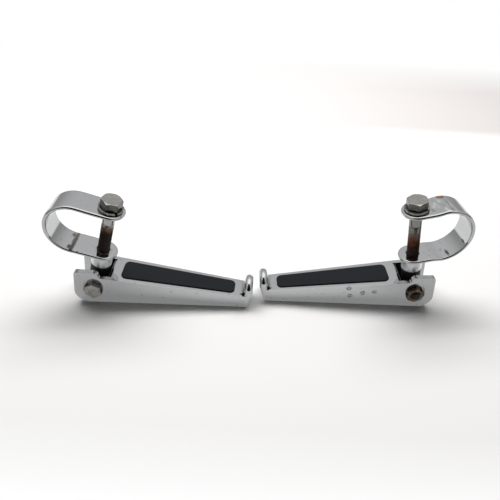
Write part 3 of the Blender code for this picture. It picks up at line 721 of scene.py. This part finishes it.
def dress():
    """Put a finished surface in the place of each CAD node."""
    casts = {
        side: chrome_plate("chrome_on_%s_cast_body" % side, CAST_GLOSS, CAST_GRIME)
        for side in SIDES
    }
    # Painted shade darkens the bottom of each clevis.
    for side in SIDES:
        painted_shade_in_clevis(casts[side], side)
    pitted(casts["right"], "right", PITS)
    strap = chrome_plate("chrome_on_bent_strap", STRAP_GLOSS, STRAP_GRIME)
    stained(strap)
    block = chrome_plate("chrome_on_cast_block", BLOCK_GLOSS, NO_GRIME, "#e4e5e6")
    # Painted shade darkens the block's neck inside the clevis.
    painted_shade_on_neck(block)
    bolts = {
        "left": clamp_bolt_steel("zinc_plated_bolt_rusting", "#b3b1ad", [
            (0.40, "#b09a80"), (0.58, "#a67b58"), (0.85, "#644e3c"), (1.0, "#40362e")]),
        "right": clamp_bolt_steel("zinc_plated_bolt_rusting_and_dirty", "#8b8a86", [
            (0.40, "#94826e"), (0.55, "#9a5f42"), (0.85, "#7d4a33"), (1.0, "#3a2a22")]),
    }
    steel = zinc_steel("dull_zinc_plated_steel", "#85817c", "#a9a6a2", "#c3c1bd", 0.30)
    spring = zinc_steel("dull_spring_steel", "#5d5a56", "#8f8e8b", "#b9b8b4", 0.20)
    brown = zinc_steel("zinc_plated_steel_brown_with_rust", "#3d342d", "#6b5c50", "#948a80", 0.34)
    black = zinc_steel("worn_black_steel", "#191817", "#2b2927", "#55524f", 0.24)
    nuts = {"left": steel, "right": brown}
    pivots = {"left": steel, "right": black}
    rubber = black_rubber("moulded_black_rubber")
    for side in SIDES:
        mount, clamp = side + "_mount", side + "_clamp"
        copies = [
            ("_peg_body", casts[side], "chrome_plate", CAST_EDGE),
            ("_rubber_pad", rubber, "black_rubber", UNCUT_EDGE),
            ("_pivot_bolt", pivots[side], "bolt_steel", BOLT_EDGE),
            ("_pivot_nut", nuts[side], "bolt_steel", BOLT_EDGE),
            ("_head_side_washer", steel, "bolt_steel", UNCUT_EDGE),
            ("_nut_side_washer", steel, "bolt_steel", UNCUT_EDGE),
        ]
        for ending, finish, slot, soft_edge in copies:
            node = side + ending
            shown(softened_copy(node, soft_edge), node, "pegs", finish, COPY_CREASE)
        shapes = [
            ("_mount_block", block_mesh, mount, block, "plated_block", COPY_CREASE),
            ("_clamp_strap", strap_mesh, clamp, strap, "plated_strap", STRAP_CREASE),
            ("_clamp_bolt", clamp_bolt_mesh, mount, bolts[side], "rusted_bolt", BOLT_CREASE),
            ("_lock_washer", lock_washer_mesh, mount, spring, "bolt_steel", WASHER_CREASE),
        ]
        for ending, shape, body, finish, slot, crease in shapes:
            shown(shape(side), side + ending, body, finish, crease)


def board():
    """White board under the object, and a table a little darker beyond it; mirrored rays see
    painted light on it.
    """
    west, east, south, north = BOARD_SIZE
    corners = [(west, south, 0.0), (east, south, 0.0), (east, north, 0.0), (west, north, 0.0)]
    mesh = bpy.data.meshes.new("floor")
    mesh.from_pydata(corners, [], [(0, 1, 2, 3)])
    floor = bpy.data.objects.new("floor", mesh)
    bpy.context.scene.collection.objects.link(floor)
    made, tree, shader = new_material("white_board")
    parts = add(tree, "ShaderNodeSeparateXYZ", inputs={"Vector": here(tree)}).outputs
    path = add(tree, "ShaderNodeLightPath").outputs
    # The board ends behind the object at a faint line. The table beyond is darkest on the right.
    past_end = remap(tree, parts["Y"], BOARD_END, interpolation="SMOOTHSTEP")
    table = ramp(tree, remap(tree, parts["X"], TABLE_WIDTH), [(0.0, "#f6f4f3"), (1.0, "#dcd7d4")])
    feed(tree, shader, {
        "Base Color": mix(tree, past_end, linear("#f4f3f2"), table),
        "Roughness": 0.9,
        "Specular IOR Level": 0.1,
    })
    # Chrome mirrors painted light on the board: a painted shadow softer than the one the eye sees,
    # and painted dark past the board's edge.
    painted_mirror_glow = ramp(tree, remap(tree, parts["Y"], PAINTED_GLOW_SPAN), [
        (0.0, 0.004), (0.075, 0.006), (0.094, 0.54), (0.225, 0.60),
        (0.312, 0.90), (0.47, 0.93), (0.69, 0.55), (1.0, 0.42)])
    share = ramp(tree, remap(tree, parts["Y"], SHARE_SPAN), [
        (0.0, 1.0), (0.07, 1.0), (0.11, 0.55), (0.5, 0.55), (0.75, 1.0)])
    mirrored = maths(tree, "MULTIPLY", share, path["Is Glossy Ray"])
    plain = add(tree, "ShaderNodeEmission", inputs={"Color": painted_mirror_glow, "Strength": 1.0})
    mixed = add(tree, "ShaderNodeMixShader", inputs={
        0: mirrored, 1: shader.outputs[0], 2: plain.outputs[0]})
    # The eye sees the table fade to plain white far behind the object and in front of it.
    behind = remap(tree, parts["Y"], WHITE_BEHIND)
    before = remap(tree, parts["Y"], WHITE_BEFORE)
    outside = maths(tree, "MAXIMUM", behind, before)
    faded = maths(tree, "MULTIPLY", outside, path["Is Camera Ray"])
    white = add(tree, "ShaderNodeEmission", inputs={
        "Color": (1.0, 1.0, 1.0, 1.0), "Strength": 1.0})
    whole = add(tree, "ShaderNodeMixShader", inputs={
        0: faded, 1: mixed.outputs[0], 2: white.outputs[0]})
    feed(tree, tree.nodes["Material Output"], {"Surface": whole.outputs[0]})
    mesh.materials.append(made)


def room():
    """Room that is bright above and behind the object, and dark on the camera's side."""
    world = bpy.data.worlds.new("studio")
    bpy.context.scene.world = world
    world.use_nodes = True
    tree = world.node_tree
    heading = add(tree, "ShaderNodeTexCoord").outputs["Generated"]
    parts = add(tree, "ShaderNodeSeparateXYZ", inputs={"Vector": heading}).outputs
    path = add(tree, "ShaderNodeLightPath").outputs
    height = ramp(tree, parts["Z"], [
        (0.0, 0.36), (0.20, 0.42), (0.45, 0.56), (0.63, 0.65),
        (0.76, 0.70), (0.88, 1.30), (1.0, 1.45)])
    toward = remap(tree, parts["Y"], (-1.0, 1.0))
    open_mirrored = ramp(tree, toward, [(0.0, 0.012), (0.27, 0.014), (0.32, 1.0)])
    open_plain = ramp(tree, toward, [(0.0, 0.006), (0.49, 0.012), (0.62, 0.9)])
    # Metal finds the dark only in a sector straight ahead of the object, so other views stay light.
    slope = maths(
        tree, "DIVIDE", maths(tree, "ABSOLUTE", parts["X"]), maths(tree, "ABSOLUTE", parts["Y"]))
    mirrored = maths(tree, "MAXIMUM", open_mirrored, remap(tree, slope, DARK_SECTOR))
    opened = mix(tree, path["Is Glossy Ray"], open_plain, mirrored)
    lit = mix(tree, 1.0, height, opened, blend="MULTIPLY")
    seen = mix(tree, path["Is Camera Ray"], lit, (1.0, 1.0, 1.0, 1.0))
    feed(tree, tree.nodes["Background"], {"Color": seen, "Strength": 1.0})


def soft_lamp():
    """One wide lamp above and behind the object, which no metal mirrors."""
    lamp = bpy.data.lights.new("soft_lamp", "AREA")
    lamp.shape = "RECTANGLE"
    lamp.size, lamp.size_y = LAMP_SIZE
    lamp.energy = LAMP_WATTS
    item = bpy.data.objects.new("soft_lamp", lamp)
    bpy.context.scene.collection.objects.link(item)
    item.location = LAMP_PLACE
    item.rotation_euler = (-item.location).to_track_quat("-Z", "Y").to_euler()
    item.visible_glossy = False


def camera():
    """Camera at the photograph's viewpoint."""
    view = bpy.data.cameras.new("photo_view")
    view.sensor_width = SENSOR_WIDTH
    view.lens = PHOTO_LENS
    view.clip_start = 0.01
    item = bpy.data.objects.new("photo_view", view)
    bpy.context.scene.collection.objects.link(item)
    item.matrix_world = Matrix(PHOTO_VIEW)
    bpy.context.scene.camera = item


camera()
dress()
board()
room()
soft_lamp()
bpy.context.scene.view_settings.view_transform = "Standard"
